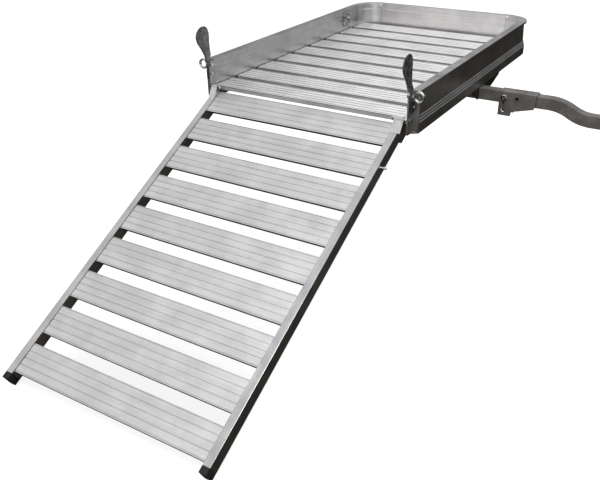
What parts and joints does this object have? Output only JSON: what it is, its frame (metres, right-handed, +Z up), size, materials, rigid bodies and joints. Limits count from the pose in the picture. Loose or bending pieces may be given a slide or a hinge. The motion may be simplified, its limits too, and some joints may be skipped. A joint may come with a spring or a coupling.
{
  "type": "hitch cargo carrier",
  "caption": "Aluminium receiver-hitch cargo carrier: slatted deck with raised rails, hinged slatted loading ramp, corner latches, folding bracket and S-bent square shank.",
  "frame": {"origin": "centre of the hitch pin hole in the shank", "axes": "+X towards the vehicle along the shank, +Y along the deck away from the ramp, +Z up"},
  "size_m": [1.754, 2.7863, 0.9983],
  "materials": {
    "aluminium": "mill finish, lightly brushed",
    "charcoal_paint": "satin charcoal powder coat",
    "black_steel": "black paint",
    "zinc_hardware": "bright zinc plate",
    "black_grip": "glossy black",
    "rubber": "matte"
  },
  "bodies": {
    "hitch_arm": {"shank": "charcoal_paint", "fold_bracket": "charcoal_paint", "fold_pivot_bolt": "zinc_hardware", "pivot_clip": "black_steel"},
    "deck": {"deck_board_1": "aluminium", "deck_board_2": "aluminium", "deck_board_3": "aluminium", "deck_board_4": "aluminium", "deck_board_5": "aluminium", "deck_board_6": "aluminium", "deck_board_7": "aluminium", "deck_board_8": "aluminium", "deck_board_9": "aluminium", "rail_left": "aluminium", "rail_right": "aluminium", "rail_back": "aluminium", "rail_corner_left": "aluminium", "rail_corner_right": "aluminium", "ledge_left": "aluminium", "ledge_right": "aluminium", "stringer_left": "aluminium", "stringer_right": "aluminium", "corner_bracket_left": "aluminium", "corner_bracket_right": "aluminium", "carrier_tube": "charcoal_paint", "gusset_left": "black_steel", "gusset_right": "black_steel", "latch_base_left": "black_steel", "latch_base_right": "black_steel", "hinge_bolt_left": "zinc_hardware", "hinge_bolt_right": "zinc_hardware", "hinge_spacer": "zinc_hardware", "latch_base_bolt_left": "zinc_hardware", "latch_base_bolt_right": "zinc_hardware", "eye_bolt_left": "zinc_hardware", "eye_bolt_right": "zinc_hardware", "rear_eye_left": "zinc_hardware", "rear_eye_right": "zinc_hardware"},
    "ramp": {"ramp_slat_1": "aluminium", "ramp_slat_2": "aluminium", "ramp_slat_3": "aluminium", "ramp_slat_4": "aluminium", "ramp_slat_5": "aluminium", "ramp_slat_6": "aluminium", "ramp_slat_7": "aluminium", "ramp_slat_8": "aluminium", "ramp_slat_9": "aluminium", "ramp_rail_left": "aluminium", "ramp_rail_right": "aluminium", "ramp_ear_left": "aluminium", "ramp_ear_right": "aluminium", "ramp_hinge_block": "aluminium", "foot_cap_left": "rubber", "foot_cap_right": "rubber", "latch_pin": "zinc_hardware"},
    "latch_left": {"latch_paddle_left": "black_grip"},
    "latch_right": {"latch_paddle_right": "black_grip"}
  },
  "joints": [
    {"name": "deck_fold", "type": "hinge", "parent": "hitch_arm", "child": "deck", "pos_m": [-0.543, 0, 0.053], "axis": [0, 1, 0], "range_deg": [0, 90]},
    {"name": "ramp_hinge", "type": "hinge", "parent": "deck", "child": "ramp", "pos_m": [-1.1528, -0.741, 0.1364], "axis": [-1, 0, 0], "range_deg": [0, 117.63]},
    {"name": "latch_left_pivot", "type": "hinge", "parent": "deck", "child": "latch_left", "pos_m": [-1.6212, -0.741, 0.2304], "axis": [1, 0, 0], "range_deg": [-15, 63]},
    {"name": "latch_right_pivot", "type": "hinge", "parent": "deck", "child": "latch_right", "pos_m": [-0.6844, -0.741, 0.2304], "axis": [1, 0, 0], "range_deg": [-18, 60]}
  ]
}
